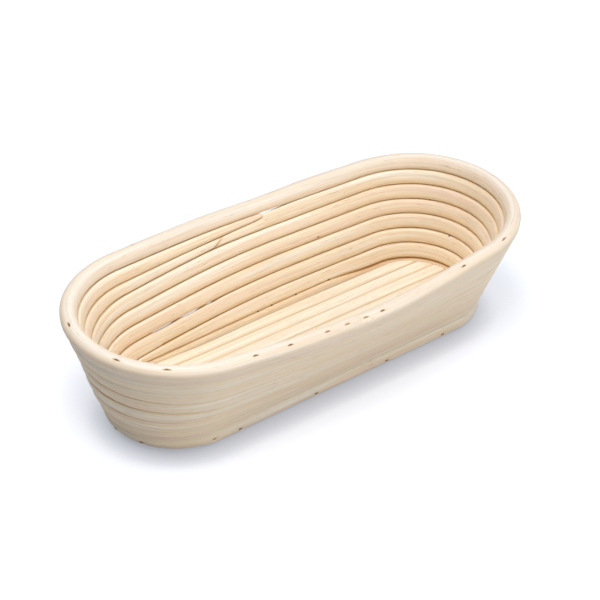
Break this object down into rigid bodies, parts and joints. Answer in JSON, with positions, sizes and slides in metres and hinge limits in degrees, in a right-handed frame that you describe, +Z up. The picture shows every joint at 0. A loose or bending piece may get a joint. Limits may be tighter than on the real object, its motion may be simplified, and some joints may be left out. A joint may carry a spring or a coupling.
{
  "type": "baguette proofing basket",
  "caption": "Long oval proofing basket of wound rattan cane: leaning coiled wall on a base of straight canes, under a bradded rim cane; holds a shaped baguette while it rises.",
  "frame": {"origin": "on the floor that the basket stands on, under the middle of the base", "axes": "+X along the basket's length, +Y across it, +Z up through the mouth; the rim's splice is on the -Y side"},
  "size_m": [0.3142, 0.1525, 0.0769],
  "materials": {
    "rattan_wall": "raw peeled cane, satin",
    "rattan_rim": "raw peeled cane, satin",
    "rattan_base": "raw peeled cane, sanded",
    "steel_brads": "dulled brown"
  },
  "bodies": {
    "root": {"base_brad_1": "steel_brads", "base_brad_10": "steel_brads", "base_brad_2": "steel_brads", "base_brad_3": "steel_brads", "base_brad_4": "steel_brads", "base_brad_5": "steel_brads", "base_brad_6": "steel_brads", "base_brad_7": "steel_brads", "base_brad_8": "steel_brads", "base_brad_9": "steel_brads", "base_cane_1": "rattan_base", "base_cane_2": "rattan_base", "base_cane_3": "rattan_base", "base_cane_4": "rattan_base", "base_cane_5": "rattan_base", "base_cane_6": "rattan_base", "base_cane_7": "rattan_base", "lower_wall_cane": "rattan_wall", "rim_brad_1": "steel_brads", "rim_brad_10": "steel_brads", "rim_brad_11": "steel_brads", "rim_brad_12": "steel_brads", "rim_brad_13": "steel_brads", "rim_brad_14": "steel_brads", "rim_brad_15": "steel_brads", "rim_brad_2": "steel_brads", "rim_brad_3": "steel_brads", "rim_brad_4": "steel_brads", "rim_brad_5": "steel_brads", "rim_brad_6": "steel_brads", "rim_brad_7": "steel_brads", "rim_brad_8": "steel_brads", "rim_brad_9": "steel_brads", "rim_cane": "rattan_rim", "upper_wall_cane": "rattan_wall", "wall_brad_1": "steel_brads", "wall_brad_2": "steel_brads", "wall_brad_3": "steel_brads"}
  },
  "joints": []
}
